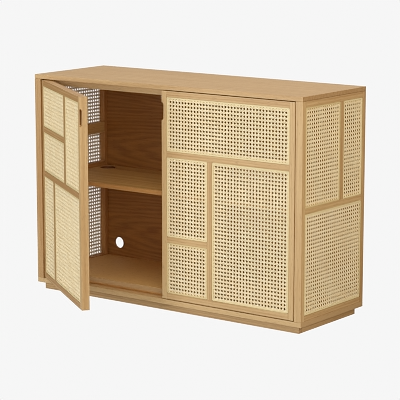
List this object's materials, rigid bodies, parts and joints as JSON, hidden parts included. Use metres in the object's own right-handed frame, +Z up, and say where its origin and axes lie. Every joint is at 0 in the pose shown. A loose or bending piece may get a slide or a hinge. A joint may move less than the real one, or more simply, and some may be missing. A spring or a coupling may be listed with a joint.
{
  "type": "tv cabinet",
  "caption": "Oak television cabinet on a recessed plinth, with framed sides and inset pivot doors divided into unequal woven cane lights, shelves and cable outlets inside.",
  "frame": {"origin": "on the floor under the middle of the carcass, at the foot of the plinth's cross bearer", "axes": "+Z up, +X along the width towards the closed door's hinge side, -Y out of the front"},
  "size_m": [1.2, 0.7201, 0.82],
  "materials": {
    "oak": "oak, fine straight grain, clear matt lacquer",
    "oak_inside": "oak veneer, clear matt lacquer",
    "cane": "woven rattan cane, natural, unlacquered",
    "steel": "turned steel",
    "catch_plastic": "moulded plastic, matt brown"
  },
  "bodies": {
    "carcass": {"top_panel": "oak", "base_panel": "oak", "floor_panel": "oak_inside", "top_front_rail": "oak_inside", "centre_divider": "oak_inside", "back_panel": "oak_inside", "shelf_left": "oak_inside", "shelf_right": "oak_inside", "magnet_catch": "catch_plastic", "plinth_front": "oak", "plinth_back": "oak", "plinth_left": "oak", "plinth_right": "oak", "plinth_cross_bearer": "oak", "left_side_front_stile": "oak", "left_side_back_stile": "oak", "left_side_top_rail": "oak", "left_side_bottom_rail": "oak", "left_side_shelf_rail": "oak", "left_side_upper_rail": "oak", "left_side_cane_top": "cane", "left_side_cane_middle": "cane", "left_side_cane_bottom": "cane", "right_side_front_stile": "oak", "right_side_back_stile": "oak", "right_side_top_rail": "oak", "right_side_bottom_rail": "oak", "right_side_shelf_rail": "oak", "right_side_muntin": "oak", "right_side_cane_front": "cane", "right_side_cane_back": "cane", "right_side_cane_bottom": "cane", "left_door_top_pin": "steel", "left_door_bottom_pin": "steel", "right_door_top_pin": "steel", "right_door_bottom_pin": "steel"},
    "left_door": {"left_door_hinge_stile": "oak", "left_door_pull_stile": "oak", "left_door_top_rail": "oak", "left_door_bottom_rail": "oak", "left_door_mid_rail": "oak", "left_door_short_rail": "oak", "left_door_upper_muntin": "oak", "left_door_lower_muntin": "oak", "left_door_cane_top_left": "cane", "left_door_cane_middle_left": "cane", "left_door_cane_upper_right": "cane", "left_door_cane_lower_left": "cane", "left_door_cane_lower_right": "cane"},
    "right_door": {"right_door_hinge_stile": "oak", "right_door_pull_stile": "oak", "right_door_top_rail": "oak", "right_door_bottom_rail": "oak", "right_door_mid_rail": "oak", "right_door_short_rail": "oak", "right_door_muntin": "oak", "right_door_cane_top": "cane", "right_door_cane_middle_left": "cane", "right_door_cane_bottom_left": "cane", "right_door_cane_right": "cane"}
  },
  "joints": [
    {"name": "left_door_hinge", "type": "hinge", "parent": "carcass", "child": "left_door", "pos_m": [-0.561, -0.194, 0.4245], "axis": [0, 0, -1], "range_deg": [-35, 75]},
    {"name": "right_door_hinge", "type": "hinge", "parent": "carcass", "child": "right_door", "pos_m": [0.561, -0.194, 0.4245], "axis": [0, 0, 1], "range_deg": [0, 110]}
  ]
}
